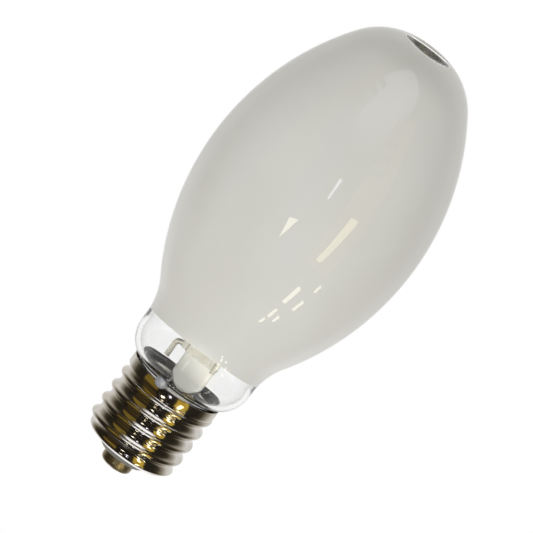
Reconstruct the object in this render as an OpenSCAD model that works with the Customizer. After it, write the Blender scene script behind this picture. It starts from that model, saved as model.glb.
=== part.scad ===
// Metal halide lamp with a coated elliptical bulb and a mogul screw cap.
// Millimetres. The lamp axis is Z, the crown is up, and the origin is at the tip
// of the centre contact. The side solder faces -Y, a little towards -X.

/* [Bulb] */
// Widest diameter of the glass bulb
bulb_d = 90.6; // [84:0.1:96]
// Height of the widest point
bulb_widest_z = 128.7; // [124:0.1:132]
// Radius of the long arc between the widest point and the crown
upper_arc_r = 106.7; // [98:0.1:116]
// Radius of the long arc between the widest point and the neck
lower_arc_r = 109.8; // [104:0.1:114]
// Radius of the rounded crown
crown_r = 27.3; // [24:0.1:30]
// Distance of the crown arc's centre from the axis
crown_offset = 3.7; // [3:0.1:5]
// Outer diameter of the neck
neck_d = 50; // [49:0.1:51]
// Radius of the blend from the neck into the bulb
neck_blend_r = 28.8; // [24:0.1:34]
// Thickness of the glass
glass_t = 1.2; // [0.9:0.1:1.5]
// Height at which the neck starts to round in towards the cap
shoulder_z = 53.4; // [53.3:0.1:53.8]
// Radius of that shoulder
shoulder_r = 12; // [11.6:0.1:12.2]
// Diameter of the glass inside the cap
finish_d = 33.6; // [32.6:0.1:33.6]

/* [Dimple in the crown] */
// Radius of the lip round the dimple
lip_r = 2.2; // [1.8:0.1:2.6]
// Direction in which the lip leaves the crown arc, in degrees above level
lip_angle = 76.5; // [75:0.5:78]
// Slope of the dimple wall from the axis, in degrees
dimple_slope = 20; // [12:1:24]
// Length of the sloping wall
dimple_wall = 5; // [3:0.5:6]
// Radius at the foot of the wall
dimple_floor_r = 3.4; // [2.5:0.1:4]

/* [Coating] */
// Thickness of the white coat inside the bulb
coat_t = 0.15; // [0.1:0.05:0.3]
// Height of the coat's lower edge at the sides
coat_edge_z = 59; // [57:0.5:62]
// Tilt of that edge, higher at the front, in degrees
coat_edge_tilt = 9.4; // [0:0.1:12]

/* [Screw cap] */
// Thread diameter over the crests
thread_d = 39.3; // [39:0.1:39.5]
// Thread diameter at the roots
thread_root_d = 35.7; // [35.5:0.1:35.9]
// Thread pitch, four turns to the inch
thread_pitch = 6.35; // [6.3:0.01:6.4]
// Height of a crest on the +X side
thread_phase_z = 30.4; // [28:0.1:32]
// Thickness of the rolled shell
shell_t = 0.36; // [0.3:0.02:0.4]
// Height of the shell's rim
rim_z = 42.2; // [42:0.1:42.2]
// Outer diameter of the plain band under the rim
band_d = 38.7; // [38.6:0.1:38.8]
// Radius of the shell's rounded bottom corner
corner_r = 4.2; // [3.8:0.1:4.6]
// Height at which that corner begins
corner_z = 13.3; // [13:0.1:13.6]
// Radius of the opening in the shell's bottom
shell_mouth_r = 13.2; // [12.8:0.1:13.6]
// Diameter of the centre contact
contact_d = 12.8; // [12:0.1:14]

/* [Stem] */
// Outer diameter of the stem tube
stem_d = 13.6; // [13:0.1:14]
// Thickness across the flat press
press_t = 5.2; // [4.6:0.1:5.6]
// Height at which the tube starts to flatten
press_from_z = 41.8; // [41:0.1:43]
// Height of the press's top
press_top_z = 57.4; // [56.5:0.1:57.4]
// Diameter of the lead wires in the press
lead_d = 1; // [0.8:0.1:1.1]
// Distance of each lead wire from the axis
lead_x = 3.9; // [3.8:0.1:4]
// Lean of the stem and frame towards +X at the bottom, in degrees
mount_lean = 1; // [0:0.1:1]

/* [Arc tube] */
// Height of the arc tube's middle
arc_z = 125.5; // [123:0.5:127]
// Outer diameter of the quartz body
arc_d = 19; // [18:0.1:20]
// Length of the quartz body between the pinches
arc_l = 42; // [40:0.5:44]
// Thickness of the quartz
arc_t = 1.2; // [1:0.1:1.4]
// Width of a pinch
pinch_w = 13; // [12:0.1:14]
// Length of a pinch
pinch_l = 15; // [14:0.5:16]
// Thickness of a pinch
pinch_t = 3.4; // [3:0.1:3.8]

/* [Frame] */
// Diameter of the rods below the arc tube
rod_d = 2.2; // [1.8:0.1:2.4]
// Diameter of the wire above the arc tube
upper_wire_d = 1.6; // [1.4:0.1:1.8]
// Distance of the uprights from the axis
upright_x = 13; // [12.5:0.1:14]

/* [Hidden] */
$fn = 64;
eps = 0.01;

// Centres and directions of the arcs that the bulb's outline runs through
bulb_r = bulb_d / 2;
neck_r = neck_d / 2;
upper_c = [bulb_r - upper_arc_r, bulb_widest_z];
lower_c = [bulb_r - lower_arc_r, bulb_widest_z];
crown_c = [crown_offset,
    bulb_widest_z + sqrt(pow(upper_arc_r - crown_r, 2) - pow(crown_offset - upper_c[0], 2))];
blend_c = [neck_r + neck_blend_r,
    bulb_widest_z - sqrt(pow(lower_arc_r + neck_blend_r, 2)
        - pow(neck_r + neck_blend_r - lower_c[0], 2))];
crown_angle = atan2(crown_c[1] - upper_c[1], crown_c[0] - upper_c[0]);
blend_angle = atan2(blend_c[1] - lower_c[1], blend_c[0] - lower_c[0]);
lip_c = crown_c + (crown_r - lip_r) * [cos(lip_angle), sin(lip_angle)];
wall_angle = 180 - dimple_slope;
wall_top = lip_c + lip_r * [cos(wall_angle), sin(wall_angle)];
wall_foot = wall_top - dimple_wall * [sin(dimple_slope), cos(dimple_slope)];
floor_c = wall_foot + dimple_floor_r * [cos(wall_angle), sin(wall_angle)];
shoulder_c = [neck_r - shoulder_r, shoulder_z];
// Radius at which the glass passes the cap's rim, leaving room for the side wire
rim_glass_r = 18.2;
shoulder_turn = acos((rim_glass_r - shoulder_c[0]) / shoulder_r);
finish_r = finish_d / 2;
waist_r = (rim_glass_r - finish_r) / (1 - cos(shoulder_turn));
waist_c = shoulder_c + (shoulder_r + waist_r) * [cos(shoulder_turn), -sin(shoulder_turn)];
seal_z = 18.1;

// Screw cap
thread_crest_r = thread_d / 2;
thread_root_r = thread_root_d / 2;
thread_mid_r = (thread_crest_r + thread_root_r) / 2;
thread_half_depth = (thread_crest_r - thread_root_r) / 2;
thread_arc_r = (pow(thread_pitch / 4, 2) + pow(thread_half_depth, 2)) / (2 * thread_half_depth);
band_r = band_d / 2;
band_t = 0.4;
band_from_z = 38.4;
band_seat_r = band_r - 0.02;
shell_rows_per_pitch = 8;
shell_columns = 48;
contact_r = contact_d / 2;
contact_top_z = 5.3;
contact_low_z = 1;
contact_edge_r = 1.9;
contact_t = 0.5;
contact_hole_r = 1.5;
solder_r = 3.1;
side_angle = -103.5;
side_wire_d = 0.5;
side_wire_r = (finish_r + thread_root_r - shell_t) / 2;

// Stem
stem_r = stem_d / 2;
stem_t = 1.2;
flare_r = 11;
flare_top_z = 31;
exhaust_r = 2.6;
exhaust_bore_r = 1.5;
exhaust_tip_z = 13;
strap_t = 0.6;
strap_z = 53.8;
strap_h = 4.2;
ring_z = 193;

// Arc tube and its electrodes
arc_r = arc_d / 2;
arc_end_r = 5.5;
arc_low_z = arc_z - arc_l / 2;
arc_high_z = arc_z + arc_l / 2;
main_x = lead_x - 0.95;
starter_x = -3;
electrode_d = 0.9;
electrode_reach = 6.5;
foil_w = 2.6;
foil_l = 8;
foil_t = 0.15;
seal_lead_d = 0.9;
coil_d = 0.5;

// Points along an arc about c, from angle a to angle b
function arc(c, r, a, b, n) =
    [for (i = [0:n]) c + r * [cos(a + (b - a) * i / n), sin(a + (b - a) * i / n)]];

// Points of the glass outline from the crown's lip down to the neck, set in by d
function body_points(d) = concat(
    arc(crown_c, crown_r - d, lip_angle, crown_angle, 10),
    arc(upper_c, upper_arc_r - d, crown_angle, 0, 14),
    arc(lower_c, lower_arc_r - d, -1.5, blend_angle, 14),
    arc(blend_c, neck_blend_r + d, blend_angle + 180 - 4, 180, 7));

// The same with the dimple at the top and the shoulder and finish at the bottom
function glass_points(d) = concat(
    [[0, floor_c[1] - dimple_floor_r - d]],
    arc(floor_c, dimple_floor_r + d, -90, wall_angle - 180, 7),
    arc(lip_c, lip_r - d, wall_angle, lip_angle + 6, 9),
    body_points(d),
    arc(shoulder_c, shoulder_r - d, 0, -shoulder_turn, 10),
    arc(waist_c, waist_r + d, 180 - shoulder_turn + 9, 180, 6),
    [[finish_r - d, seal_z]]);

function reversed(list) = [for (i = [len(list) - 1:-1:0]) list[i]];
function unit(v) = v / norm(v);

// Points through pts, with each corner turned on an arc of radius bend
function bent(pts, bend) = concat([pts[0]],
    [for (i = [1:len(pts) - 2])
        let (u = unit(pts[i] - pts[i - 1]), v = unit(pts[i + 1] - pts[i]), turn = acos(u * v),
             centre = pts[i] + unit(v - u) * bend / cos(turn / 2),
             out = unit(pts[i] - u * bend * tan(turn / 2) - centre), steps = ceil(turn / 24))
        each [for (k = [0:steps])
            centre + bend * (out * cos(turn * k / steps) + u * sin(turn * k / steps))]],
    [pts[len(pts) - 1]]);

// Points on a helix about Z that starts at height z
function coiled(r, pitch, turns, z, per_turn) = [for (i = [0:turns * per_turn])
    [r * cos(360 * i / per_turn), r * sin(360 * i / per_turn), z + pitch * i / per_turn]];

// Directions across a path, each carried on from the one before
function carried(along, i, last) = i == len(along) ? []
    : let (across = unit(last - along[i] * (last * along[i])))
        concat([across], carried(along, i + 1, across));

// The mount leans about the ring that holds it in the crown
module leaning() {
    translate([0, 0, ring_z]) rotate([0, -mount_lean, 0]) translate([0, 0, -ring_z]) children();
}

// Where the point p goes as the mount leans
function leant(p) = let (below = ring_z - p[2])
    [p[0] * cos(mount_lean) + below * sin(mount_lean), p[1],
        ring_z + p[0] * sin(mount_lean) - below * cos(mount_lean)];

// Round wire of diameter d along a list of close points
module wire(path, d, sides = 10) {
    count = len(path);
    along = [for (i = [0:count - 1])
        unit(unit(path[min(i + 1, count - 1)] - path[min(i, count - 2)])
            + unit(path[max(i, 1)] - path[max(i - 1, 0)]))];
    first = abs(along[0][2]) < 0.9 ? [0, 0, 1] : [0, 1, 0];
    across = carried(along, 0, first);
    points = [for (i = [0:count - 1], j = [0:sides - 1])
        path[i] + d / 2 * (across[i] * cos(360 * j / sides)
            + cross(along[i], across[i]) * sin(360 * j / sides))];
    wall = [for (i = [0:count - 2], j = [0:sides - 1])
        let (k = (j + 1) % sides)
        each [[i * sides + j, (i + 1) * sides + k, i * sides + k],
              [i * sides + j, (i + 1) * sides + j, (i + 1) * sides + k]]];
    start_face = [for (j = [0:sides - 1]) j];
    end_face = [for (j = [0:sides - 1]) count * sides - 1 - j];
    polyhedron(points, concat(wall, [start_face, end_face]));
}

// Glass

module glass_solid(d = 0) {
    pts = glass_points(d);
    rotate_extrude($fn = 128) polygon(concat(pts, [[0, seal_z]]));
}

module outer_bulb() {
    color([0.9, 0.93, 0.95, 0.35])
        rotate_extrude($fn = 128)
            polygon(concat(glass_points(0), reversed(glass_points(glass_t))));
}

module inner_coating() {
    outer = body_points(glass_t);
    inner = body_points(glass_t + coat_t);
    neck_inner_r = neck_r - glass_t;
    low = coat_edge_z - neck_r;
    color([0.86, 0.85, 0.82])
        difference() {
            rotate_extrude($fn = 128)
                polygon(concat(outer, [[neck_inner_r, low], [neck_inner_r - coat_t, low]],
                    reversed(inner)));
            translate([0, 0, coat_edge_z]) rotate([-coat_edge_tilt, 0, 0])
                translate([-bulb_d, -bulb_d, -bulb_d]) cube([2 * bulb_d, 2 * bulb_d, bulb_d]);
        }
}

// Solid outline of the press: a round tube squeezed flat, with sloping shoulders
module press_form(r, t, top) {
    slope = 4.5;
    intersection() {
        translate([0, 0, press_from_z]) cylinder(r = r, h = top - press_from_z);
        rotate([90, 0, 90]) linear_extrude(2 * r + 2, center = true)
            polygon([[-r, press_from_z], [r, press_from_z],
                [t / 2, press_from_z + slope], [t / 2, top],
                [-t / 2, top], [-t / 2, press_from_z + slope]]);
    }
}

module stem() {
    flare_c = [stem_r + flare_r, flare_top_z];
    flare_end = 262;
    brim_r = 20;
    neck_inner_r = finish_r - glass_t;
    arc_out = arc(flare_c, flare_r, 180, flare_end, 12);
    arc_in = arc(flare_c, flare_r + stem_t, 180, flare_end, 12);
    color([0.9, 0.92, 0.9, 0.5])
        difference() {
            union() {
                intersection() {
                    leaning() rotate_extrude()
                        polygon(concat([[stem_r - stem_t, press_from_z], [stem_r, press_from_z]],
                            arc_out, [[brim_r, arc_out[12][1]], [brim_r, arc_in[12][1]]],
                            reversed(arc_in)));
                    cylinder(r = neck_inner_r, h = 2 * press_from_z, $fn = 128);
                }
                leaning() press_form(stem_r, press_t, press_top_z);
                leaning() translate([0, 0, exhaust_tip_z + exhaust_r])
                    cylinder(r = exhaust_r, h = press_from_z - exhaust_tip_z - exhaust_r + eps);
                leaning() translate([0, 0, exhaust_tip_z + exhaust_r]) sphere(exhaust_r);
            }
            leaning() translate([0, 0, exhaust_tip_z + exhaust_r])
                cylinder(r = exhaust_bore_r, h = press_from_z - exhaust_tip_z);
            leaning() translate([0, 0, press_from_z + exhaust_r - 1]) rotate([-90, 0, 0])
                cylinder(r = exhaust_bore_r - 0.3, h = stem_r + 1);
            leaning() for (x = [-lead_x, lead_x])
                translate([x, 0, press_from_z - 1])
                    cylinder(d = lead_d, h = press_top_z - press_from_z + 2, $fn = 24);
        }
}

// Frame that carries the arc tube

module strap_section(grow) {
    intersection() {
        circle(stem_r + grow);
        square([2 * stem_r + 4, press_t + 2 * grow], center = true);
    }
}

module stem_strap() {
    ear_w = 2.2;
    color([0.8, 0.79, 0.75]) leaning() {
        translate([0, 0, strap_z]) linear_extrude(strap_h) difference() {
            strap_section(strap_t);
            strap_section(0);
        }
        translate([0.3 - stem_r - strap_t - ear_w, -strap_t, strap_z])
            cube([ear_w, 2 * strap_t, strap_h]);
    }
}

module frame_rod_left() {
    hook_x = -12.7;
    hook_foot_z = 47.5;
    inner_x = -8.7;
    over_z = strap_z + strap_h + rod_d / 2;
    behind_y = strap_t + rod_d / 2;
    color([0.78, 0.78, 0.76]) leaning()
        wire(bent([[hook_x, behind_y, hook_foot_z], [hook_x, behind_y, over_z],
            [inner_x, behind_y, over_z], [inner_x, behind_y, 70], [-upright_x, 0, 80],
            [-upright_x, 0, 99]], 1.9), rod_d, 12);
}

module frame_rod_right() {
    foot_x = 6;
    foot_y = -(press_t + rod_d) / 2 - strap_t;
    color([0.78, 0.78, 0.76]) leaning()
        wire(bent([[foot_x, foot_y, strap_z - 0.6], [foot_x, foot_y, 62],
            [upright_x, 0, 78], [upright_x, 0, 99]], 3), rod_d, 12);
}

module upper_frame() {
    ring_r = 8.9;
    clip_z = arc_high_z + 4;
    color([0.75, 0.74, 0.7]) leaning() {
        translate([0, 0, ring_z]) rotate_extrude()
            translate([ring_r, 0]) circle(d = upper_wire_d, $fn = 24);
        for (side = [-1, 1])
            wire(bent([[side * upright_x, 0, clip_z], [side * upright_x, 0, 178],
                [side * ring_r, 0, ring_z]], 6), upper_wire_d);
    }
}

module dimple_coil() {
    coil_wire = 0.9;
    color([0.62, 0.55, 0.36])
        wire(coiled(9.35, 1.15, 2.5, 194.45, 24), coil_wire, 8);
}

module flying_lead() {
    wire_d = 0.6;
    weld_y = (lead_d + wire_d) / 2;
    behind_y = 2.4;
    far_weld_y = (seal_lead_d + wire_d) / 2;
    color([0.72, 0.72, 0.7]) leaning()
        wire(bent([[-lead_x, weld_y, 61], [-lead_x, weld_y, 64], [-lead_x, 3.5, 69], [-24, 3.5, 75],
            [-32, behind_y, 125], [-24, behind_y, 172], [0, far_weld_y, 172],
            [0, far_weld_y, 165]], 3), wire_d, 8);
}

// Arc tube

module arc_outline(d, low, high) {
    reach = arc_end_r - d;
    polygon(concat([[0, low + d]],
        arc([arc_r - arc_end_r, low + arc_end_r], reach, -90, 0, 8),
        arc([arc_r - arc_end_r, high - arc_end_r], reach, 0, 90, 8),
        [[0, high - d]]));
}

module arc_cavity() {
    rotate_extrude() arc_outline(arc_t, arc_low_z, arc_high_z);
}

// A pinch from z = 0 down, thickened along both edges
module pinch_form() {
    bead = 1;
    linear_extrude(pinch_l + 1) {
        square([pinch_w - 2 * bead, pinch_t], center = true);
        for (x = [-1, 1])
            translate([x * (pinch_w / 2 - pinch_t / 2 - 0.1), 0]) circle(pinch_t / 2 + 0.1);
    }
}

module pinch(low) {
    z = low ? arc_low_z - pinch_l : arc_high_z - 1;
    translate([0, 0, z]) pinch_form();
}

// Where the parts of a seal lie along a pinch, measured out from the quartz body
foil_gap = 3.2;

// Electrode rod from the foil into the cavity
module electrode_rod(x, d, reach, up) {
    length = reach + foil_gap + 0.5;
    z = up ? arc_high_z - reach : arc_low_z - foil_gap - 0.5;
    translate([x, 0, z]) cylinder(d = d, h = length, $fn = 24);
}

module foil(x, up) {
    z = up ? arc_high_z + foil_gap : arc_low_z - foil_gap - foil_l;
    difference() {
        translate([x - foil_w / 2, -foil_t / 2, z]) cube([foil_w, foil_t, foil_l]);
        electrode_rod(x, electrode_d, 1, up);
        seal_lead(x, up);
    }
}

// Outer lead from the foil to free air
module seal_lead(x, up, free = 8) {
    bite = 0.5;
    length = pinch_l - foil_gap - foil_l + free + bite;
    z = up ? arc_high_z + foil_gap + foil_l - bite : arc_low_z - pinch_l - free;
    translate([x, 0, z]) cylinder(d = seal_lead_d, h = length, $fn = 24);
}

module arc_tube() {
    tip_r = 1.5;
    color([0.92, 0.94, 0.96, 0.5]) leaning()
        difference() {
            union() {
                rotate_extrude() arc_outline(0, arc_low_z, arc_high_z);
                pinch(true);
                pinch(false);
                translate([0, -arc_r + 0.5, arc_z]) rotate([90, 0, 0])
                    cylinder(r1 = tip_r, r2 = 0.6, h = 3, $fn = 24);
            }
            arc_cavity();
            electrode_rod(main_x, electrode_d, 2, false);
            electrode_rod(starter_x, electrode_d, 2, false);
            electrode_rod(0, electrode_d, 2, true);
            for (x = [main_x, starter_x]) {
                foil(x, false);
                seal_lead(x, false);
            }
            foil(0, true);
            seal_lead(0, true);
        }
}

module electrode_coil(x, z) {
    wire_r = coil_d / 2;
    translate([x, 0, z]) wire(coiled(electrode_d / 2 + wire_r, 0.62, 6, 0, 12), coil_d, 6);
}

module lower_electrode() {
    color([0.45, 0.45, 0.47]) leaning() {
        electrode_rod(main_x, electrode_d, electrode_reach, false);
        electrode_coil(main_x, arc_low_z + electrode_reach - 4.2);
    }
}

module upper_electrode() {
    color([0.45, 0.45, 0.47]) leaning() {
        electrode_rod(0, electrode_d, electrode_reach, true);
        electrode_coil(0, arc_high_z - electrode_reach + 0.4);
    }
}

module starter_electrode() {
    color([0.45, 0.45, 0.47]) leaning() electrode_rod(starter_x, electrode_d, 3.5, false);
}

module lower_main_foil() {
    color([0.6, 0.6, 0.62]) leaning() foil(main_x, false);
}

module starter_foil() {
    color([0.6, 0.6, 0.62]) leaning() foil(starter_x, false);
}

module upper_foil() {
    color([0.6, 0.6, 0.62]) leaning() foil(0, true);
}

module lower_main_lead() {
    color([0.66, 0.66, 0.68]) leaning() seal_lead(main_x, false);
}

module starter_lead() {
    color([0.66, 0.66, 0.68]) leaning() seal_lead(starter_x, false);
}

module upper_lead() {
    color([0.66, 0.66, 0.68]) leaning() seal_lead(0, true, 9);
}

// White heat-reflecting coat over one end of the arc tube
module end_coat(low) {
    coat = 0.15;
    depth = 9;
    z = low ? arc_low_z - 1 : arc_high_z - depth;
    color([0.93, 0.92, 0.9]) leaning()
        difference() {
            intersection() {
                rotate_extrude() arc_outline(-coat, arc_low_z, arc_high_z);
                translate([0, 0, z]) cylinder(r = arc_r + 1, h = depth + 1);
            }
            rotate_extrude() arc_outline(0, arc_low_z, arc_high_z);
            pinch(low);
        }
}

module lower_end_coat() {
    end_coat(true);
}

module upper_end_coat() {
    end_coat(false);
}

module halide_dose() {
    depth = 0.9;
    color([0.78, 0.7, 0.36]) leaning()
        difference() {
            intersection() {
                arc_cavity();
                translate([0, 0, arc_low_z]) cylinder(r = arc_r, h = arc_t + depth);
            }
            for (x = [main_x, starter_x])
                electrode_rod(x, electrode_d, electrode_reach, false);
        }
}

// Sheet clip round a pinch, with an ear to each upright
module clip(z, wire_d) {
    sheet = 0.5;
    clip_h = 4;
    inner_w = pinch_w;
    inner_t = pinch_t + 0.2;
    ear_x = inner_w / 2 + sheet;
    ear_w = upright_x - wire_d / 2 - ear_x;
    color([0.72, 0.71, 0.68]) leaning()
        translate([0, 0, z]) linear_extrude(clip_h) {
            difference() {
                square([inner_w + 2 * sheet, inner_t + 2 * sheet], center = true);
                square([inner_w, inner_t], center = true);
            }
            for (side = [-1, 1])
                translate([side * (ear_x + ear_w / 2), 0]) square([ear_w, sheet], center = true);
        }
}

module lower_clip() {
    clip(arc_low_z - 11, rod_d);
}

module upper_clip() {
    clip(arc_high_z + 7, upper_wire_d);
}

module starting_resistor() {
    body_d = 5.4;
    body_l = 15;
    low_z = 62;
    high_z = low_z + body_l;
    tail_d = 0.7;
    back_y = 8;
    tail_y = (lead_d + tail_d) / 2;
    top_y = (seal_lead_d + tail_d) / 2;
    color([0.55, 0.42, 0.3]) leaning()
        translate([starter_x, back_y, low_z]) cylinder(d = body_d, h = body_l);
    color([0.75, 0.75, 0.75]) leaning() {
        wire(bent([[starter_x, back_y, low_z + 1], [starter_x, back_y, low_z - 2.2],
            [-lead_x, tail_y, low_z - 2.2]], 1), tail_d, 8);
        wire(bent([[starter_x, back_y, high_z - 1], [starter_x, back_y, high_z + 5],
            [starter_x, top_y, high_z + 5]], 1), tail_d, 8);
    }
}

module bimetal_switch() {
    strip_t = 0.3;
    strip_w = 3;
    z = arc_low_z - pinch_l - 6.5;
    front_y = -seal_lead_d / 2 - strip_t;
    length = main_x - starter_x - 0.6;
    color([0.6, 0.58, 0.55]) leaning()
        translate([0, 0, z]) linear_extrude(strip_w)
            polygon([[main_x + 0.4, front_y], [main_x + 0.4, front_y + strip_t],
                [main_x - 1, front_y + strip_t], [main_x - length, front_y - 0.7 + strip_t],
                [main_x - length, front_y - 0.7], [main_x - 1, front_y]]);
}

module getter() {
    color([0.5, 0.5, 0.5]) leaning()
        translate([upright_x, -upper_wire_d / 2, 163]) rotate([90, 0, 0])
            linear_extrude(0.6) square([4, 10], center = true);
}

// Screw cap

// Radius of the rolled thread at distance u from a crest, along the axis
function thread_radius(u) =
    let (p = u / thread_pitch, v = (p - round(p)) * thread_pitch)
    abs(v) <= thread_pitch / 4
        ? thread_crest_r - thread_arc_r + sqrt(pow(thread_arc_r, 2) - v * v)
        : thread_root_r + thread_arc_r
            - sqrt(pow(thread_arc_r, 2) - pow(thread_pitch / 2 - abs(v), 2));

function ramp(z, a, b) = let (t = min(1, max(0, (z - a) / (b - a)))) t * t * (3 - 2 * t);

// Share of the full thread depth at height z: it runs out at both ends
function thread_share(z) = ramp(z, 9.8, 12.6) * (1 - ramp(z, 36.9, 38.3));

// Rows of the shell from its mouth up: height, plain radius, and the wall's direction
corner_c = [thread_mid_r - corner_r, corner_z];
row_step = thread_pitch / shell_rows_per_pitch;
shell_rows = concat(
    [[corner_c[1] - corner_r, shell_mouth_r, 0, -1]],
    [for (a = [-84, -62, -42, -26, -12])
        [corner_c[1] + corner_r * sin(a), corner_c[0] + corner_r * cos(a), cos(a), sin(a)]],
    [for (z = [corner_z:row_step:band_from_z - 0.2])
        [z, thread_mid_r + (band_seat_r - thread_mid_r) * ramp(z, 36.6, 38.2), 1, 0]],
    [[band_from_z + 0.5, band_seat_r, 1, 0]]);

module threaded_shell() {
    rows = len(shell_rows);
    // Once round the wall's section: up the outside, then down the inside
    points = [for (k = [0:2 * rows - 1], i = [0:shell_columns - 1])
        let (outside = k < rows, row = shell_rows[outside ? k : 2 * rows - 1 - k],
             a = i * 360 / shell_columns,
             lift = (thread_radius(row[0] - thread_phase_z - thread_pitch * a / 360)
                 - thread_mid_r) * thread_share(row[0]),
             t = outside ? 0 : shell_t,
             r = row[1] + lift - t * row[2])
        [r * cos(a), r * sin(a), row[0] - t * row[3]]];
    faces = [for (k = [0:2 * rows - 1], i = [0:shell_columns - 1])
        let (j = (i + 1) % shell_columns, m = (k + 1) % (2 * rows),
             p = k * shell_columns + i, q = k * shell_columns + j,
             s = m * shell_columns + j, t = m * shell_columns + i)
        each (k < rows ? [[p, s, q], [p, t, s]] : [[p, t, q], [q, t, s]])];
    polyhedron(points, faces);
}

module shell_band() {
    translate([0, 0, band_from_z]) rotate_extrude()
        translate([band_r - band_t, 0]) square([band_t, rim_z - band_from_z]);
}

module screw_shell() {
    color([0.72, 0.68, 0.6]) {
        threaded_shell();
        shell_band();
    }
}

module insulator() {
    seat_r = 15.2;
    lip_z = corner_z - corner_r;
    mouth = shell_mouth_r - 0.05;
    color([0.82, 0.83, 0.84])
        rotate_extrude()
            polygon([[contact_hole_r, contact_low_z + contact_t],
                [contact_r - contact_edge_r, contact_low_z + contact_t],
                [contact_r - contact_t, contact_low_z + contact_edge_r],
                [contact_r - contact_t, contact_top_z], [contact_r + 0.6, contact_top_z],
                [contact_r + 2.7, contact_top_z + 0.7], [mouth, lip_z - 0.1],
                [mouth, lip_z + shell_t], [seat_r, lip_z + shell_t + 0.1], [seat_r, lip_z + 3.2],
                [seat_r - 1.4, lip_z + 3.2], [contact_r, contact_top_z + 3.4],
                [contact_hole_r, contact_top_z + 3.4]]);
}

module contact_outline(d) {
    r = contact_r - d;
    edge_c = [contact_r - contact_edge_r, contact_low_z + contact_edge_r];
    polygon(concat([[contact_hole_r, contact_low_z + d]],
        arc(edge_c, contact_edge_r - d, -90, 0, 6),
        [[r, contact_top_z], [contact_hole_r, contact_top_z]]));
}

module contact_button() {
    color([0.6, 0.5, 0.3])
        difference() {
            rotate_extrude() contact_outline(0);
            rotate_extrude() difference() {
                contact_outline(contact_t);
                square([contact_hole_r + eps, 1]);
            }
        }
}

module centre_solder() {
    tip_flat_z = 0;
    dome_r = 5.2;
    color([0.66, 0.66, 0.66])
        difference() {
            union() {
                intersection() {
                    translate([0, 0, dome_r - 0.25]) sphere(dome_r);
                    translate([0, 0, tip_flat_z])
                        cylinder(r = solder_r, h = contact_low_z - tip_flat_z);
                }
                translate([0, 0, contact_low_z - eps]) cylinder(r = contact_hole_r, h = 1.2);
            }
            translate([0, 0, 0.4]) cylinder(d = lead_d, h = 4, $fn = 24);
        }
}

module side_solder() {
    blob_r = 2.6;
    color([0.68, 0.7, 0.74])
        difference() {
            rotate([0, 0, side_angle]) translate([band_r + 0.2, 0, rim_z + 1.1]) sphere(blob_r);
            glass_solid(-0.05);
            rotate_extrude() translate([band_r - band_t, band_from_z])
                square([band_t, rim_z - band_from_z]);
            side_wire_run();
        }
}

module basing_cement() {
    low = 19;
    high = 32;
    outer_r = thread_root_r - shell_t - 0.05;
    color([0.8, 0.77, 0.7])
        difference() {
            translate([0, 0, low]) linear_extrude(high - low) difference() {
                circle(outer_r, $fn = 128);
                circle(finish_r, $fn = 128);
            }
            side_wire_run();
        }
}

// Lead wires

// The part of the side wire that runs up between the glass and the shell
module side_wire_run() {
    under_z = seal_z - 1.6;
    side = [cos(side_angle), sin(side_angle), 0];
    top_r = band_r - band_t - side_wire_d / 2 - 0.03;
    wire(bent([leant([-lead_x, 0, under_z + 4]), leant([-lead_x, 0, under_z]),
        side * side_wire_r + [0, 0, under_z], side * side_wire_r + [0, 0, 39.4],
        side * top_r + [0, 0, rim_z + 0.1], side * (band_r + 0.1) + [0, 0, rim_z + 0.8]], 0.4),
        side_wire_d, 8);
}

module side_lead_wire() {
    color([0.7, 0.68, 0.64]) {
        leaning() translate([-lead_x, 0, seal_z + 2]) cylinder(d = lead_d, h = 66 - seal_z - 2, $fn = 24);
        side_wire_run();
    }
}

module centre_lead_wire() {
    turn_z = 12;
    color([0.7, 0.68, 0.64])
        wire(bent([leant([lead_x, 0, arc_low_z - pinch_l - 1.5]), leant([lead_x, 0, turn_z + 2]),
            [0, 0, turn_z - 1.6], [0, 0, 0.4]], 1.2), lead_d, 12);
}

outer_bulb();
inner_coating();
stem();
stem_strap();
side_lead_wire();
centre_lead_wire();
frame_rod_left();
frame_rod_right();
upper_frame();
dimple_coil();
flying_lead();
arc_tube();
lower_electrode();
upper_electrode();
starter_electrode();
lower_main_foil();
starter_foil();
upper_foil();
lower_main_lead();
starter_lead();
upper_lead();
lower_end_coat();
upper_end_coat();
halide_dose();
lower_clip();
upper_clip();
starting_resistor();
bimetal_switch();
getter();
screw_shell();
insulator();
contact_button();
centre_solder();
side_solder();
basing_cement();
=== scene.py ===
# Metal halide lamp with a coated elliptical bulb and a mogul screw cap
import math

import bmesh
import bpy
from mathutils import Matrix, Vector


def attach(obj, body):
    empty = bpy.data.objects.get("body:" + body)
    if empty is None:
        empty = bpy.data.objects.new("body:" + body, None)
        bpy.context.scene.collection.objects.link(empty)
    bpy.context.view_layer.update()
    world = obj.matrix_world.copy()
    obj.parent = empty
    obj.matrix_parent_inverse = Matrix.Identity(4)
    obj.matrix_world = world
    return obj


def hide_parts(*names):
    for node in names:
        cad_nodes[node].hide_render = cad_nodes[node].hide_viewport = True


MM = 0.001

# Camera: a long lens two metres from the lamp, a little above level, rolled with the lamp
CAMERA_DISTANCE = 2.0
CAMERA_ELEVATION = 13.2
CAMERA_ROLL = 37.2
CAMERA_LENS = 361.63
SENSOR_WIDTH = 36
AIM_X = 0.00053
AIM_Z = 0.09814

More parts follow.
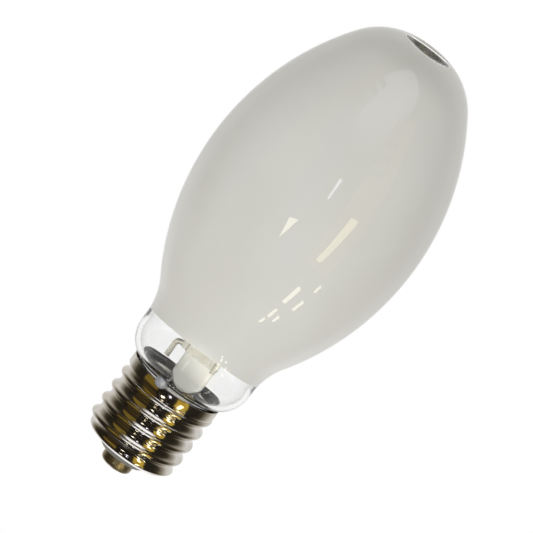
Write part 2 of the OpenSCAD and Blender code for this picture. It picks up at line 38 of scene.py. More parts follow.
# Outline of the bulb, in millimetres, as in the part's source
BULB_R, WIDEST_Z = 45.3, 128.7
UPPER_ARC_R, LOWER_ARC_R = 106.7, 109.8
CROWN_R, CROWN_OFFSET = 27.3, 3.7
NECK_R, NECK_BLEND_R = 25.0, 28.8
GLASS_T, NECK_GLASS_T = 1.2, 1.9
SHOULDER_Z, SHOULDER_R = 53.4, 12.0
RIM_GLASS_R, FINISH_R, SEAL_Z = 18.2, 16.8, 18.1
BLEND_Z = 26
LIP_R, LIP_ANGLE = 2.2, 76.5
DIMPLE_SLOPE, DIMPLE_WALL, DIMPLE_FLOOR_R = 20, 5, 3.4
COAT_T, COAT_GAP = 0.15, -0.03
COAT_EDGE_Z, COAT_EDGE_TILT = 59, 9.4

# Screw shell, in millimetres, as in the part's source
CREST_R, ROOT_R, CREST_BEND_R = 19.65, 17.85, 1.15
PITCH, PHASE_Z = 6.35, 30.4
SHELL_T, RIM_Z = 0.36, 42.2
BAND_R, BAND_T, BAND_FROM_Z = 19.35, 0.4, 38.4
CORNER_R, CORNER_Z, MOUTH_R = 4.2, 13.3, 13.2

# Stem press and the mount that leans about its ring in the crown
PRESS_V_Z, PRESS_V_SLOPE, PRESS_V_TILT, MOUNT_LEAN, RING_Z = 35.4, 1.3, 0.23, 1, 193

# Left rod of the mount, whose hook stands lower than in the part's source
ROD_R, ROD_SIDES, HOOK_BEND_R = 1.1, 24, 1.6
LEFT_ROD = [(-12, 1.7, 47.5), (-12, 1.7, 54.7), (-8.7, 1.7, 54.7), (-8.7, 1.7, 70),
            (-13, 0, 80), (-13, 0, 99)]

BULB_SIDES = 256
SHELL_COLUMNS = 192
SHELL_ROWS_PER_PITCH = 24
CARD_DISTANCE = 3.0


# Points in the (radius, height) plane from angle a to angle b, on an arc or a radius that changes
def arc(centre, r, a, b, n, end_r=None):
    grow = 0 if end_r is None else end_r - r
    return [(centre[0] + (r + grow * i / n) * math.cos(math.radians(a + (b - a) * i / n)),
             centre[1] + (r + grow * i / n) * math.sin(math.radians(a + (b - a) * i / n)))
            for i in range(n + 1)]


upper_c = (BULB_R - UPPER_ARC_R, WIDEST_Z)
lower_c = (BULB_R - LOWER_ARC_R, WIDEST_Z)
crown_c = (CROWN_OFFSET, WIDEST_Z + math.sqrt((UPPER_ARC_R - CROWN_R) ** 2
                                              - (CROWN_OFFSET - upper_c[0]) ** 2))
blend_c = (NECK_R + NECK_BLEND_R, WIDEST_Z - math.sqrt((LOWER_ARC_R + NECK_BLEND_R) ** 2
                                                       - (NECK_R + NECK_BLEND_R - lower_c[0]) ** 2))
crown_angle = math.degrees(math.atan2(crown_c[1] - upper_c[1], crown_c[0] - upper_c[0]))
blend_angle = math.degrees(math.atan2(blend_c[1] - lower_c[1], blend_c[0] - lower_c[0]))
lip_c = (crown_c[0] + (CROWN_R - LIP_R) * math.cos(math.radians(LIP_ANGLE)),
         crown_c[1] + (CROWN_R - LIP_R) * math.sin(math.radians(LIP_ANGLE)))
wall_angle = 180 - DIMPLE_SLOPE
wall_out = (math.cos(math.radians(wall_angle)), math.sin(math.radians(wall_angle)))
wall_foot = (lip_c[0] + LIP_R * wall_out[0] - DIMPLE_WALL * math.sin(math.radians(DIMPLE_SLOPE)),
             lip_c[1] + LIP_R * wall_out[1] - DIMPLE_WALL * math.cos(math.radians(DIMPLE_SLOPE)))
floor_c = (wall_foot[0] + DIMPLE_FLOOR_R * wall_out[0], wall_foot[1] + DIMPLE_FLOOR_R * wall_out[1])
shoulder_c = (NECK_R - SHOULDER_R, SHOULDER_Z)
shoulder_turn = math.degrees(math.acos((RIM_GLASS_R - shoulder_c[0]) / SHOULDER_R))
waist_r = (RIM_GLASS_R - FINISH_R) / (1 - math.cos(math.radians(shoulder_turn)))
waist_c = (shoulder_c[0] + (SHOULDER_R + waist_r) * math.cos(math.radians(shoulder_turn)),
           shoulder_c[1] - (SHOULDER_R + waist_r) * math.sin(math.radians(shoulder_turn)))


# Set-in of the inner face in the neck, where the glass is thicker
def neck_set(d, thickness):
    return d + thickness - GLASS_T if d > 0 else d


# Outline of the glass from the crown's lip to the neck, set in by d
def body_points(d):
    return (arc(crown_c, CROWN_R - d, LIP_ANGLE, crown_angle, 20)
            + arc(upper_c, UPPER_ARC_R - d, crown_angle, 0, 44)[1:]
            + arc(lower_c, LOWER_ARC_R - d, -1.2, blend_angle, 40)
            + arc(blend_c, NECK_BLEND_R + d, blend_angle + 180, 180, 24,
                  NECK_BLEND_R + neck_set(d, NECK_GLASS_T))[1:])


def glass_points(d):
    return ([(0.0, floor_c[1] - DIMPLE_FLOOR_R - d)]
            + arc(floor_c, DIMPLE_FLOOR_R + d, -90, wall_angle - 180, 12)[1:]
            + arc(lip_c, LIP_R - d, wall_angle, LIP_ANGLE + 6, 16)
            + body_points(d)
            + arc(shoulder_c, SHOULDER_R - neck_set(d, NECK_GLASS_T), 0, -shoulder_turn, 20)
            + arc(waist_c, waist_r + neck_set(d, NECK_GLASS_T), 180 - shoulder_turn + 9, 180, 12)
            + [(FINISH_R - neck_set(d, NECK_GLASS_T), BLEND_Z), (FINISH_R - d, SEAL_Z)])


def add_object(name, bm, sharp_angle=35):
    bmesh.ops.recalc_face_normals(bm, faces=bm.faces)
    mesh = bpy.data.meshes.new(name)
    bm.to_mesh(mesh)
    bm.free()
    for polygon in mesh.polygons:
        polygon.use_smooth = True
    mesh.set_sharp_from_angle(angle=math.radians(sharp_angle))
    obj = bpy.data.objects.new(name, mesh)
    bpy.context.scene.collection.objects.link(obj)
    return obj


# Closed solid from a loop of (radius, height) points; lift changes a point's height by angle
def lathe(name, loop, sides, lift=None, closed=True):
    bm = bmesh.new()
    rings = []
    for r, z in loop:
        if r < 1e-6:
            rings.append([bm.verts.new((0, 0, z * MM))])
            continue
        ring = []
        for i in range(sides):
            a = 2 * math.pi * i / sides
            x, y = r * math.cos(a), r * math.sin(a)
            ring.append(bm.verts.new((x * MM, y * MM, (lift(x, y, z) if lift else z) * MM)))
        rings.append(ring)
    count = len(rings)
    for k in range(count if closed else count - 1):
        low, high = rings[k], rings[(k + 1) % count]
        if len(low) == 1 and len(high) == 1:
            continue
        for i in range(sides):
            j = (i + 1) % sides
            if len(low) == 1:
                bm.faces.new((low[0], high[j], high[i]))
            elif len(high) == 1:
                bm.faces.new((low[i], low[j], high[0]))
            else:
                bm.faces.new((low[i], low[j], high[j], high[i]))
    return add_object(name, bm)


# A CAD node's own solid, welded and shaded smooth between its real edges
def smooth_copy(node, sharp_angle=35):
    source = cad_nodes[node]
    bm = bmesh.new()
    bm.from_mesh(source.data)
    bmesh.ops.remove_doubles(bm, verts=bm.verts, dist=2e-6)
    piece = add_object(node + "_look", bm, sharp_angle)
    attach(piece, "root")
    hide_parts(node)
    return piece


# Points of a path with its corners rounded, in the upright frame of the mount
def bent_path(points, bend, steps=10):
    points = [Vector(p) for p in points]
    path = [points[0]]
    for before, corner, after in zip(points, points[1:], points[2:]):
        back, on = (before - corner).normalized(), (after - corner).normalized()
        half = back.angle(on) / 2
        reach = bend / math.tan(half)
        centre = corner + (back + on).normalized() * bend / math.sin(half)
        start, end = corner + back * reach - centre, corner + on * reach - centre
        path += [centre + start.slerp(end, i / steps).normalized() * bend
                 for i in range(steps + 1)]
    return path + [points[-1]]


# Rod of one thickness along a path, leaning with the mount
def rod_piece(name, points, bend):
    lean = (Matrix.Translation((0, 0, RING_Z)) @ Matrix.Rotation(math.radians(-MOUNT_LEAN), 4, "Y")
            @ Matrix.Translation((0, 0, -RING_Z)))
    path = [lean @ p for p in bent_path(points, bend)]
    bm = bmesh.new()
    rings = []
    for k, p in enumerate(path):
        along = (path[min(k + 1, len(path) - 1)] - path[max(k - 1, 0)]).normalized()
        side = Vector((0, 1, 0)).cross(along).normalized()
        other = along.cross(side)
        turns = [2 * math.pi * i / ROD_SIDES for i in range(ROD_SIDES)]
        rings.append([bm.verts.new((p + (side * math.cos(a) + other * math.sin(a)) * ROD_R) * MM)
                      for a in turns])
    for low, high in zip(rings, rings[1:]):
        for i in range(ROD_SIDES):
            j = (i + 1) % ROD_SIDES
            bm.faces.new((low[i], low[j], high[j], high[i]))
    bm.faces.new(rings[0])
    bm.faces.new(rings[-1])
    return add_object(name, bm)


# Rolled thread: a crest arc and a wider root arc that meet with the same slope
def thread_radius(u):
    p = u / PITCH
    v = abs(p - round(p)) * PITCH
    mid, depth, half = (CREST_R + ROOT_R) / 2, CREST_R - ROOT_R, PITCH / 2
    both = (half ** 2 + depth ** 2) / (2 * depth)
    root_bend = both - CREST_BEND_R
    if v <= half * CREST_BEND_R / both:
        return CREST_R - CREST_BEND_R + math.sqrt(CREST_BEND_R ** 2 - v * v) - mid
    return ROOT_R + root_bend - math.sqrt(root_bend ** 2 - (half - v) ** 2) - mid


def ramp(z, a, b):
    t = min(1, max(0, (z - a) / (b - a)))
    return t * t * (3 - 2 * t)


# Rows of the shell from the mouth up: height, plain radius, direction of the wall
def shell_rows():
    mid = (CREST_R + ROOT_R) / 2
    cx = mid - CORNER_R
    rows = [(CORNER_Z - CORNER_R, MOUTH_R, 0.0, -1.0)]
    for i in range(18):
        a = math.radians(-84 + 84 * i / 18)
        rows.append((CORNER_Z + CORNER_R * math.sin(a), cx + CORNER_R * math.cos(a),
                     math.cos(a), math.sin(a)))
    step = PITCH / SHELL_ROWS_PER_PITCH
    z = CORNER_Z
    while z < BAND_FROM_Z:
        rows.append((z, mid + (BAND_R - mid) * ramp(z, 36.6, 38.2), 1.0, 0.0))
        z += step
    rows.append((BAND_FROM_Z + 0.1, BAND_R, 1.0, 0.0))
    rows.append((RIM_Z - 0.12, BAND_R, 1.0, 0.0))
    rows.append((RIM_Z, BAND_R - 0.12, 0.6, 0.8))
    return rows


def screw_shell_piece():
    rows = shell_rows()
    inner = list(reversed(rows))
    bm = bmesh.new()
    rings = []
    for k, (z, r0, out, up) in enumerate(rows + inner):
        t = 0 if k < len(rows) else SHELL_T
        share = ramp(z, 9.8, 12.6) * (1 - ramp(z, 36.9, 38.3))
        ring = []
        for i in range(SHELL_COLUMNS):
            turn = i / SHELL_COLUMNS
            a = 2 * math.pi * turn
            r = r0 + thread_radius(z - PHASE_Z - PITCH * turn) * share - t * out
            ring.append(bm.verts.new((r * math.cos(a) * MM, r * math.sin(a) * MM, (z - t * up) * MM)))
        rings.append(ring)
    count = len(rings)
    for k in range(count):
        low, high = rings[k], rings[(k + 1) % count]
        for i in range(SHELL_COLUMNS):
            j = (i + 1) % SHELL_COLUMNS
            bm.faces.new((low[i], low[j], high[j], high[i]))
    return add_object("screw_shell_look", bm, 60)


# Node helpers
def new_material(name):
    material = bpy.data.materials.new(name)
    material.use_nodes = True
    tree = material.node_tree
    tree.nodes.clear()
    output = tree.nodes.new("ShaderNodeOutputMaterial")
    return material, tree, output


def principled(tree, color, roughness, metallic=0.0, **inputs):
    node = tree.nodes.new("ShaderNodeBsdfPrincipled")
    node.inputs["Base Color"].default_value = (*color, 1)
    node.inputs["Roughness"].default_value = roughness
    node.inputs["Metallic"].default_value = metallic
    for key, value in inputs.items():
        node.inputs[key.replace("_", " ")].default_value = value
    return node


def object_noise(tree, scale, detail=3.0, stretch=(1, 1, 1)):
    coord = tree.nodes.new("ShaderNodeTexCoord")
    mapping = tree.nodes.new("ShaderNodeMapping")
    mapping.inputs["Scale"].default_value = stretch
    noise = tree.nodes.new("ShaderNodeTexNoise")
    noise.inputs["Scale"].default_value = scale
    noise.inputs["Detail"].default_value = detail
    tree.links.new(coord.outputs["Object"], mapping.inputs["Vector"])
    tree.links.new(mapping.outputs["Vector"], noise.inputs["Vector"])
    return noise


def color_ramp(tree, source, stops):
    node = tree.nodes.new("ShaderNodeValToRGB")
    elements = node.color_ramp.elements
    while len(elements) < len(stops):
        elements.new(0.5)
    for element, (place, color) in zip(elements, stops):
        element.position = place
        element.color = (*color, 1)
    tree.links.new(source, node.inputs["Fac"])
    return node.outputs["Color"]


def map_range(tree, source, low, high):
    node = tree.nodes.new("ShaderNodeMapRange")
    node.inputs["To Min"].default_value = low
    node.inputs["To Max"].default_value = high
    tree.links.new(source, node.inputs["Value"])
    return node.outputs["Result"]


def bump(tree, source, strength, distance):
    node = tree.nodes.new("ShaderNodeBump")
    node.inputs["Strength"].default_value = strength
    node.inputs["Distance"].default_value = distance
    tree.links.new(source, node.inputs["Height"])
    return node.outputs["Normal"]


def math_node(tree, operation, first, second):
    node = tree.nodes.new("ShaderNodeMath")
    node.operation = operation
    for socket, value in zip(node.inputs, (first, second)):
        if isinstance(value, (int, float)):
            socket.default_value = value
        else:
            tree.links.new(value, socket)
    return node.outputs[0]


# Glass lets lamp light and light off other surfaces straight through, and bends what is seen.
# A ray that glass has bent, or that bounces inside the glass, counts as glossy too, so those
# are taken out again.
def pass_light(tree, glass, color):
    clear = tree.nodes.new("ShaderNodeBsdfTransparent")
    clear.inputs["Color"].default_value = (*color, 1)
    path = tree.nodes.new("ShaderNodeLightPath")
    inside = tree.nodes.new("ShaderNodeNewGeometry").outputs["Backfacing"]
    mirrored = math_node(tree, "SUBTRACT",
                         math_node(tree, "SUBTRACT", path.outputs["Is Glossy Ray"],
                                   path.outputs["Is Transmission Ray"]), inside)
    lit = math_node(tree, "MAXIMUM", path.outputs["Is Shadow Ray"], path.outputs["Is Diffuse Ray"])
    mix = tree.nodes.new("ShaderNodeMixShader")
    tree.links.new(math_node(tree, "MAXIMUM", mirrored, lit), mix.inputs["Fac"])
    tree.links.new(glass, mix.inputs[1])
    tree.links.new(clear.outputs[0], mix.inputs[2])
    return mix.outputs[0]


def glass_material(name, color, wave, ior=1.5):
    material, tree, output = new_material(name)
    glass = principled(tree, color, 0.0, Transmission_Weight=1.0, IOR=ior)
    noise = object_noise(tree, wave[0], 2.0)
    tree.links.new(bump(tree, noise.outputs["Fac"], wave[1], wave[2]), glass.inputs["Normal"])
    tree.links.new(pass_light(tree, glass.outputs[0], color), output.inputs["Surface"])
    return material


def coat_material():
    material, tree, output = new_material("white_coat")
    soft = object_noise(tree, 28, 4.0, (1, 1, 0.45))
    tone = color_ramp(tree, soft.outputs["Fac"],
                      [(0.3, (0.77, 0.758, 0.715)), (0.7, (0.805, 0.803, 0.775))])
    powder = object_noise(tree, 2600, 3.0)
    grain = bump(tree, powder.outputs["Fac"], 0.25, 0.0001)
    diffuse = tree.nodes.new("ShaderNodeBsdfDiffuse")
    diffuse.inputs["Roughness"].default_value = 0.6
    through = tree.nodes.new("ShaderNodeBsdfTranslucent")
    for shader in (diffuse, through):
        tree.links.new(tone, shader.inputs["Color"])
        tree.links.new(grain, shader.inputs["Normal"])
    mix = tree.nodes.new("ShaderNodeMixShader")
    mix.inputs["Fac"].default_value = 0.18
    tree.links.new(diffuse.outputs[0], mix.inputs[1])
    tree.links.new(through.outputs[0], mix.inputs[2])
    tree.links.new(mix.outputs[0], output.inputs["Surface"])
    return material


# Metal with uneven polish and a little tarnish
def metal_material(name, clean, dull, rough, scale=90, grain=0.15, metallic=1.0):
    material, tree, output = new_material(name)
    shader = principled(tree, clean, rough[0], metallic)
    cloud = object_noise(tree, scale, 4.0)
    tree.links.new(color_ramp(tree, cloud.outputs["Fac"], [(0.35, clean), (0.75, dull)]),
                   shader.inputs["Base Color"])
    tree.links.new(map_range(tree, cloud.outputs["Fac"], rough[0], rough[1]),
                   shader.inputs["Roughness"])
    fine = object_noise(tree, 1500, 2.0)
    tree.links.new(bump(tree, fine.outputs["Fac"], grain, 0.00003), shader.inputs["Normal"])
    tree.links.new(shader.outputs[0], output.inputs["Surface"])
    return material


def plain_material(name, light, dark, roughness, scale=150, grain=0.2):
    material, tree, output = new_material(name)
    shader = principled(tree, light, roughness)
    cloud = object_noise(tree, scale, 5.0)
    tree.links.new(color_ramp(tree, cloud.outputs["Fac"], [(0.3, dark), (0.7, light)]),
                   shader.inputs["Base Color"])
    fine = object_noise(tree, 900, 4.0)
    tree.links.new(bump(tree, fine.outputs["Fac"], grain, 0.0001), shader.inputs["Normal"])
    tree.links.new(shader.outputs[0], output.inputs["Surface"])
    return material


# Stem glass: clear in the tube, milky from the V where the tube was squeezed flat
def stem_material():
    material, tree, output = new_material("stem_glass")
    glass = principled(tree, (0.95, 0.95, 0.92), 0.02, Transmission_Weight=1.0, IOR=1.52)
    milky = principled(tree, (0.95, 0.93, 0.86), 0.7, Specular_IOR_Level=0.1)
    coord = tree.nodes.new("ShaderNodeTexCoord")
    split = tree.nodes.new("ShaderNodeSeparateXYZ")
    tree.links.new(coord.outputs["Object"], split.inputs[0])
    lean = math.tan(math.radians(MOUNT_LEAN))
    middle = math_node(tree, "MULTIPLY",
                       math_node(tree, "SUBTRACT", RING_Z * MM, split.outputs["Z"]), lean)
    aside = math_node(tree, "ABSOLUTE",
                      math_node(tree, "SUBTRACT", split.outputs["X"], middle), 0)
    tilt = math_node(tree, "MULTIPLY", split.outputs["Y"], -PRESS_V_TILT)
    edge = math_node(tree, "ADD", math_node(tree, "MULTIPLY", aside, PRESS_V_SLOPE),
                     math_node(tree, "ADD", tilt, PRESS_V_Z * MM))
    above = math_node(tree, "SUBTRACT", split.outputs["Z"], edge)
    height = tree.nodes.new("ShaderNodeMapRange")
    height.inputs["From Min"].default_value = -0.0002
    height.inputs["From Max"].default_value = 0.0002
    tree.links.new(above, height.inputs["Value"])
    cloud = object_noise(tree, 220, 3.0)
    tree.links.new(color_ramp(tree, cloud.outputs["Fac"],
                              [(0.3, (0.95, 0.93, 0.85)), (0.7, (1.0, 0.985, 0.92))]),
                   milky.inputs["Base Color"])
    mix = tree.nodes.new("ShaderNodeMixShader")
    tree.links.new(height.outputs["Result"], mix.inputs["Fac"])
    tree.links.new(pass_light(tree, glass.outputs[0], (0.95, 0.95, 0.92)), mix.inputs[1])
    tree.links.new(milky.outputs[0], mix.inputs[2])
    tree.links.new(mix.outputs[0], output.inputs["Surface"])
    return material


def set_material(obj, material):
    obj.data.materials.clear()
    obj.data.materials.append(material)


# Camera
camera_data = bpy.data.cameras.new("camera")
camera_data.lens = CAMERA_LENS
camera_data.sensor_width = SENSOR_WIDTH
camera_data.clip_start = 0.05
camera_data.clip_end = 50
camera = bpy.data.objects.new("camera", camera_data)
bpy.context.scene.collection.objects.link(camera)
elevation, roll = math.radians(CAMERA_ELEVATION), math.radians(CAMERA_ROLL)
forward = Vector((0, math.cos(elevation), -math.sin(elevation)))
level_right = Vector((1, 0, 0))
level_up = Vector((0, math.sin(elevation), math.cos(elevation)))
right = level_right * math.cos(roll) + level_up * math.sin(roll)
up = level_up * math.cos(roll) - level_right * math.sin(roll)
place = Vector((AIM_X, 0, AIM_Z)) - forward * CAMERA_DISTANCE
camera.matrix_world = Matrix((
    (right.x, up.x, -forward.x, place.x),
    (right.y, up.y, -forward.y, place.y),
    (right.z, up.z, -forward.z, place.z),
    (0, 0, 0, 1)))
bpy.context.scene.camera = camera

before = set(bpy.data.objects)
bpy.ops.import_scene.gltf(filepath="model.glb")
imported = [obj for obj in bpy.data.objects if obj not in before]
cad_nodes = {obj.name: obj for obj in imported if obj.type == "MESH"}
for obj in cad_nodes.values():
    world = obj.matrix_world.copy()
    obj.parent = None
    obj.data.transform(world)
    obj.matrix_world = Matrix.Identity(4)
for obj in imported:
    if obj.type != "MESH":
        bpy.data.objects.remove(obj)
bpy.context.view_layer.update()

# Glass bulb and its coat
bulb = lathe("outer_bulb_look", glass_points(0) + list(reversed(glass_points(GLASS_T))), BULB_SIDES)
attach(bulb, "root")
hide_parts("outer_bulb")


# The coat's lower rows follow the slanted edge
def coat_height(x, y, z):
    edge = COAT_EDGE_Z - math.tan(math.radians(COAT_EDGE_TILT)) * y
    return max(z, edge)


coat_outer = [p for p in body_points(GLASS_T + COAT_GAP)] + [(NECK_R - NECK_GLASS_T - COAT_GAP, 50.0)]
coat_inner = [p for p in body_points(GLASS_T + COAT_T)] + [(NECK_R - NECK_GLASS_T - COAT_T, 50.0)]
coat = lathe("inner_coating_look", coat_outer + list(reversed(coat_inner)), BULB_SIDES, coat_height)
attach(coat, "root")
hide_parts("inner_coating")

shell = screw_shell_piece()
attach(shell, "root")
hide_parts("screw_shell")

left_rod = rod_piece("frame_rod_left_look", LEFT_ROD, HOOK_BEND_R)
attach(left_rod, "root")
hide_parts("frame_rod_left")

OWN_PIECES = {"outer_bulb": bulb, "inner_coating": coat, "screw_shell": shell,
              "frame_rod_left": left_rod}
ROUND_NODES = [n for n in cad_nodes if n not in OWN_PIECES]
pieces = {node: smooth_copy(node) for node in sorted(ROUND_NODES)}
pieces.update(OWN_PIECES)

# Materials
clear_glass = glass_material("clear_glass", (0.985, 0.99, 0.985), (26, 0.12, 0.0012))
quartz = glass_material("quartz", (0.97, 0.98, 1.0), (60, 0.1, 0.0004), 1.46)
white_coat = coat_material()
stem_glass = stem_material()
plate = metal_material("shell_plate", (0.76, 0.735, 0.69), (0.6, 0.56, 0.48), (0.07, 0.16), 110, 0.2)
brass = metal_material("contact_brass", (0.6, 0.52, 0.36), (0.4, 0.34, 0.22), (0.3, 0.5), 300)
solder = metal_material("solder", (0.56, 0.59, 0.66), (0.38, 0.41, 0.47), (0.3, 0.45), 700, 0.4, 0.6)
strap_steel = metal_material("frame_steel", (0.72, 0.69, 0.6), (0.57, 0.53, 0.43), (0.2, 0.35), 250,
                             0.15, 0.5)
lead_wire = metal_material("lead_wire", (0.36, 0.3, 0.24), (0.2, 0.16, 0.12), (0.25, 0.45), 300)
coil_wire = metal_material("coil_wire", (0.62, 0.44, 0.12), (0.3, 0.22, 0.07), (0.2, 0.4), 500)
tungsten = metal_material("tungsten", (0.32, 0.32, 0.34), (0.22, 0.22, 0.24), (0.3, 0.5))
molybdenum = metal_material("molybdenum", (0.5, 0.5, 0.52), (0.38, 0.38, 0.42), (0.2, 0.35))
bimetal = metal_material("bimetal", (0.55, 0.5, 0.44), (0.4, 0.35, 0.3), (0.25, 0.4))
dark_metal = metal_material("dark_metal", (0.2, 0.2, 0.21), (0.1, 0.1, 0.11), (0.4, 0.6))
opal = plain_material("opal_glass", (0.16, 0.155, 0.12), (0.1, 0.095, 0.07), 0.5, 200, 0.05)
cement = plain_material("cement", (0.3, 0.25, 0.16), (0.2, 0.16, 0.1), 0.9)
end_white = plain_material("end_coat", (0.86, 0.85, 0.82), (0.78, 0.77, 0.73), 0.9)
salts = plain_material("salts", (0.62, 0.5, 0.16), (0.48, 0.36, 0.1), 0.6)
resistor = plain_material("resistor_body", (0.42, 0.28, 0.18), (0.33, 0.21, 0.13), 0.5)

LOOKS = {
    "outer_bulb": (clear_glass, "clear_glass"), "inner_coating": (white_coat, "white_coat"),
    "stem": (stem_glass, "clear_glass"), "stem_strap": (strap_steel, "frame_steel"),
    "side_lead_wire": (lead_wire, "lead_wire"), "centre_lead_wire": (lead_wire, "lead_wire"),
    "frame_rod_left": (strap_steel, "frame_steel"), "frame_rod_right": (strap_steel, "frame_steel"),
    "upper_frame": (strap_steel, "frame_steel"), "dimple_coil": (coil_wire, "coil_wire"),
    "flying_lead": (lead_wire, "lead_wire"), "arc_tube": (quartz, "quartz"),
    "lower_electrode": (tungsten, "tungsten"), "upper_electrode": (tungsten, "tungsten"),
    "starter_electrode": (tungsten, "tungsten"),
    "lower_main_foil": (molybdenum, "molybdenum"), "starter_foil": (molybdenum, "molybdenum"),
    "upper_foil": (molybdenum, "molybdenum"),
    "lower_main_lead": (molybdenum, "molybdenum"), "starter_lead": (molybdenum, "molybdenum"),
    "upper_lead": (molybdenum, "molybdenum"),
    "lower_end_coat": (end_white, "end_coat"), "upper_end_coat": (end_white, "end_coat"),
    "halide_dose": (salts, "salts"), "lower_clip": (strap_steel, "frame_steel"),
    "upper_clip": (strap_steel, "frame_steel"), "starting_resistor": (resistor, "resistor_body"),
    "bimetal_switch": (bimetal, "bimetal"), "getter": (dark_metal, "dark_metal"),
    "screw_shell": (plate, "shell_plate"), "insulator": (opal, "opal_glass"),
    "contact_button": (brass, "contact_brass"), "centre_solder": (solder, "solder"),
    "side_solder": (solder, "solder"), "basing_cement": (cement, "cement"),
}
for node, piece in pieces.items():
    material, slot = LOOKS[node]
    set_material(piece, material)


# Studio: the world is white behind the lamp and dark in front, as metal and glass see it
def studio_world():
    world = bpy.data.worlds.new("studio")
    bpy.context.scene.world = world
    world.use_nodes = True
    tree = world.node_tree
    tree.nodes.clear()
    output = tree.nodes.new("ShaderNodeOutputWorld")
    path = tree.nodes.new("ShaderNodeLightPath")
    coord = tree.nodes.new("ShaderNodeTexCoord")
    split = tree.nodes.new("ShaderNodeSeparateXYZ")
    tree.links.new(coord.outputs["Generated"], split.inputs[0])
    depth = tree.nodes.new("ShaderNodeMapRange")
    depth.inputs["From Min"].default_value = -1
    depth.inputs["From Max"].default_value = 1
    tree.links.new(split.outputs["Y"], depth.inputs["Value"])
    seen = color_ramp(tree, depth.outputs["Result"], [
        (0.0, (0.012, 0.01, 0.008)), (0.48, (0.02, 0.017, 0.012)),
        (0.6, (0.06, 0.05, 0.03)), (0.72, (0.34, 0.31, 0.26)), (0.86, (0.8, 0.79, 0.78))])
    height = tree.nodes.new("ShaderNodeMapRange")
    height.interpolation_type = "SMOOTHSTEP"
    height.inputs["From Min"].default_value = -0.9
    height.inputs["From Max"].default_value = -0.75
    tree.links.new(split.outputs["Z"], height.inputs["Value"])
    below = tree.nodes.new("ShaderNodeMix")
    below.data_type = "RGBA"
    below.inputs["A"].default_value = (0.05, 0.042, 0.03, 1)
    tree.links.new(height.outputs["Result"], below.inputs["Factor"])
    tree.links.new(seen, below.inputs["B"])
    reflected = tree.nodes.new("ShaderNodeBackground")
    tree.links.new(below.outputs["Result"], reflected.inputs["Color"])
    shown = tree.nodes.new("ShaderNodeBackground")
    shown.inputs["Color"].default_value = (1, 1, 1, 1)
    light = tree.nodes.new("ShaderNodeBackground")
    light.inputs["Color"].default_value = (1.0, 0.99, 0.975, 1)
    light.inputs["Strength"].default_value = 0.575
    plain = tree.nodes.new("ShaderNodeMath")
    plain.operation = "MAXIMUM"
    tree.links.new(path.outputs["Is Camera Ray"], plain.inputs[0])
    tree.links.new(path.outputs["Is Transmission Ray"], plain.inputs[1])
    first = tree.nodes.new("ShaderNodeMixShader")
    tree.links.new(path.outputs["Is Glossy Ray"], first.inputs["Fac"])
    tree.links.new(light.outputs[0], first.inputs[1])
    tree.links.new(reflected.outputs[0], first.inputs[2])
    second = tree.nodes.new("ShaderNodeMixShader")
    tree.links.new(plain.outputs[0], second.inputs["Fac"])
    tree.links.new(first.outputs[0], second.inputs[1])
    tree.links.new(shown.outputs[0], second.inputs[2])
    tree.links.new(second.outputs[0], output.inputs["Surface"])


# Direction from the lamp, with azimuth to the right of the viewer's side
def direction(azimuth, height):
    a, e = math.radians(azimuth), math.radians(height)
    return Vector((math.sin(a) * math.cos(e), -math.cos(a) * math.cos(e), math.sin(e)))


# Light of a card; each fade names an axis and the places where the card starts and is full
def emission_material(name, color, strength, fades=()):
    material, tree, output = new_material(name)
    glow = tree.nodes.new("ShaderNodeEmission")
    glow.inputs["Color"].default_value = (*color, 1)
    glow.inputs["Strength"].default_value = strength
    if fades:
        coord = tree.nodes.new("ShaderNodeTexCoord")
        split = tree.nodes.new("ShaderNodeSeparateXYZ")
        tree.links.new(coord.outputs["Object"], split.inputs[0])
        level = strength
        for axis, start, full in fades:
            fade = tree.nodes.new("ShaderNodeMapRange")
            fade.interpolation_type = "SMOOTHSTEP"
            fade.inputs["From Min"].default_value = start
            fade.inputs["From Max"].default_value = full
            tree.links.new(split.outputs[axis], fade.inputs["Value"])
            level = math_node(tree, "MULTIPLY", fade.outputs["Result"], level)
        tree.links.new(level, glow.inputs["Strength"])
    tree.links.new(glow.outputs[0], output.inputs["Surface"])
    return material


# Card that only reflections see: a patch of the sky with these (azimuth, height) corners
def card(name, corners, material, centre_z=0.06, columns=1):
    bm = bmesh.new()
    centre = Vector((0, 0, centre_z))
    if columns > 1:
        (a0, e0), (a1, e1) = corners
        grid = [[bm.verts.new(centre + CARD_DISTANCE * direction(a0 + (a1 - a0) * i / columns,
                                                                 e0 + (e1 - e0) * j / columns))
                 for i in range(columns + 1)] for j in range(columns + 1)]
        for j in range(columns):
            for i in range(columns):
                bm.faces.new((grid[j][i], grid[j][i + 1], grid[j + 1][i + 1], grid[j + 1][i]))
    else:
        bm.faces.new([bm.verts.new(centre + 0.98 * CARD_DISTANCE * direction(a, e))
                      for a, e in corners])
    obj = add_object(name, bm)
    set_material(obj, material)
    for ray in ("camera", "diffuse", "transmission", "volume_scatter", "shadow"):
        setattr(obj, "visible_" + ray, False)
    return obj


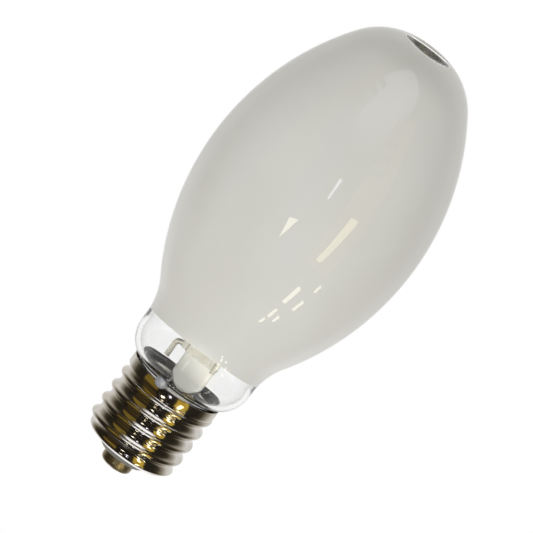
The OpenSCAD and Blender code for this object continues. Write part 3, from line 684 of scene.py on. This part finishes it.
studio_world()
white_card = emission_material("white_card", (0.95, 0.95, 1.0), 1.35)
soft_card = emission_material("soft_card", (0.95, 0.95, 1.0), 1.45,
                              [("Z", 1.2, 2.4), ("X", -1.6, -0.7), ("X", 1.7, 0.8)])
gold_card = emission_material("gold_card", (0.75, 0.5, 0.07), 0.8)
amber_card = emission_material("amber_card", (0.4, 0.27, 0.04), 0.5)
brown_card = emission_material("brown_card", (0.05, 0.033, 0.012), 0.8)
cream_lamp = emission_material("cream_lamp", (1.0, 0.93, 0.72), 7.0)
yellow_lamp = emission_material("yellow_lamp", (1.0, 0.88, 0.52), 4.6)
violet_lamp = emission_material("violet_lamp", (0.9, 0.88, 1.0), 6.0)
card("white_top_card", [(-40, 20), (44, 86)], soft_card, columns=16)
card("white_floor_card", [(155, -89), (205, -36)], white_card, columns=12)
card("gold_card", [(27, -22), (56, 45)], gold_card, columns=12)
card("amber_card", [(-66, -5), (-24, 55)], amber_card, columns=12)
card("brown_card", [(-66, -60), (-24, -5)], brown_card, columns=12)
card("quad_lamp", [(-9.5, -12.5), (-1, -11), (-6, -21.5)], cream_lamp, 0.125)
card("streak_lamp", [(37.5, 1.5), (46, 1.5), (41, -20), (35, -20)], yellow_lamp, 0.125)
card("violet_lamp", [(6.5, 12.5), (10, 12.5), (9.8, 3), (8, 3)], violet_lamp, 0.125)
DASHES = [((41, -32.5), (46, -41)), ((57.5, -26.5), (60.5, -30)), ((57, -35), (60.5, -40)),
          ((43, -45), (47, -49.5)), ((42.5, -51), (46.5, -54)), ((53, -46), (57, -49))]
for index, ((a0, e0), (a1, e1)) in enumerate(DASHES):
    card("dash_lamp_%d" % index, [(a0, e0), (a1, e0), (a1, e1), (a0, e1)], cream_lamp, 0.125)


# Lamps
def area_lamp(name, azimuth, height, distance, size, power, color):
    data = bpy.data.lights.new(name, "AREA")
    data.shape = "DISK"
    data.size = size
    data.energy = power
    data.color = color
    lamp = bpy.data.objects.new(name, data)
    bpy.context.scene.collection.objects.link(lamp)
    toward = direction(azimuth, height)
    lamp.location = Vector((0, 0, 0.1)) + toward * distance
    lamp.rotation_euler = toward.to_track_quat("Z", "Y").to_euler()
    lamp.visible_glossy = False
    lamp.visible_transmission = False
    return lamp


area_lamp("key", -4, -26, 2.2, 1.2, 25, (1, 0.995, 0.985))
area_lamp("right_fill", 80, -5, 2.4, 1.6, 10, (1, 0.995, 0.985))
area_lamp("crown_fill", -40, 74, 2.4, 1.6, 8.5, (1, 0.995, 0.985))

# Narrow spot through the clear neck onto the press, which the rim of the cap shades
spot_data = bpy.data.lights.new("neck_spot", "SPOT")
spot_data.energy = 30
spot_data.spot_size = 2 * math.atan(0.0088 / 2.0)
spot_data.spot_blend = 0.4
spot_data.shadow_soft_size = 0.002
spot = bpy.data.objects.new("neck_spot", spot_data)
bpy.context.scene.collection.objects.link(spot)
spot.location = Vector((0.0015, -0.004, 0.0458)) + direction(-3, 12) * 2.0
spot.rotation_euler = direction(-3, 12).to_track_quat("Z", "Y").to_euler()
spot.visible_glossy = False
spot.visible_transmission = False

# Floor well below the lamp and below every view's camera, white to the camera
floor_material, floor_tree, floor_output = new_material("floor")
floor_diffuse = floor_tree.nodes.new("ShaderNodeBsdfDiffuse")
floor_diffuse.inputs["Color"].default_value = (0.85, 0.85, 0.85, 1)
floor_glow = floor_tree.nodes.new("ShaderNodeEmission")
floor_path = floor_tree.nodes.new("ShaderNodeLightPath")
floor_any = floor_tree.nodes.new("ShaderNodeMath")
floor_any.operation = "MAXIMUM"
floor_mix = floor_tree.nodes.new("ShaderNodeMixShader")
floor_tree.links.new(floor_path.outputs["Is Camera Ray"], floor_any.inputs[0])
floor_tree.links.new(floor_path.outputs["Is Transmission Ray"], floor_any.inputs[1])
floor_tree.links.new(floor_any.outputs[0], floor_mix.inputs["Fac"])
floor_tree.links.new(floor_diffuse.outputs[0], floor_mix.inputs[1])
floor_tree.links.new(floor_glow.outputs[0], floor_mix.inputs[2])
floor_tree.links.new(floor_mix.outputs[0], floor_output.inputs["Surface"])
floor_bm = bmesh.new()
floor_bm.faces.new([floor_bm.verts.new((x, y, -2.4)) for x, y in ((-4, -4), (4, -4), (4, 4), (-4, 4))])
floor = add_object("floor", floor_bm)
set_material(floor, floor_material)
floor.visible_glossy = False

bpy.context.scene.view_settings.view_transform = "Standard"
